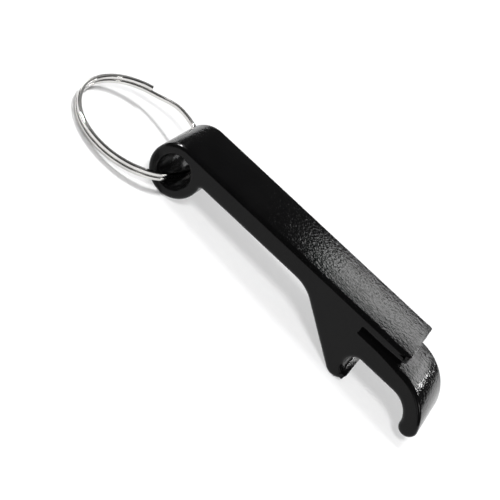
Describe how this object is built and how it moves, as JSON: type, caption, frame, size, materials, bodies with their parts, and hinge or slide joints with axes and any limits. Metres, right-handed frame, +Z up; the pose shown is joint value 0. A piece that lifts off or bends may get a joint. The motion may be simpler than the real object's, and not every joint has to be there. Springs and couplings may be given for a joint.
{
  "type": "keychain bottle opener",
  "caption": "Flat extruded pocket opener: round eye, handle bar, cap-lifting prong with hooked jaw and ring-pull slot; a split ring hangs in the eye.",
  "frame": {"origin": "centre of the footprint of the whole part lying at rest, on the surface that it lies on", "axes": "+X from the split ring towards the hooked jaw, +Y across the opener's width, +Z up; the handle bar rises 4.1 degrees towards the jaw"},
  "size_m": [0.069, 0.0202, 0.0113],
  "materials": {
    "black_aluminium": "satin black anodised coat",
    "ring_steel": "polished nickel-plated spring steel"
  },
  "bodies": {
    "opener": {"opener_body": "black_aluminium"},
    "ring": {"split_ring": "ring_steel"}
  },
  "joints": [
    {"name": "ring_swing", "type": "hinge", "parent": "opener", "child": "ring", "pos_m": [-0.01557, 0.00073, 0.00415], "axis": [0, 1, 0], "range_deg": [-165, 155]}
  ]
}
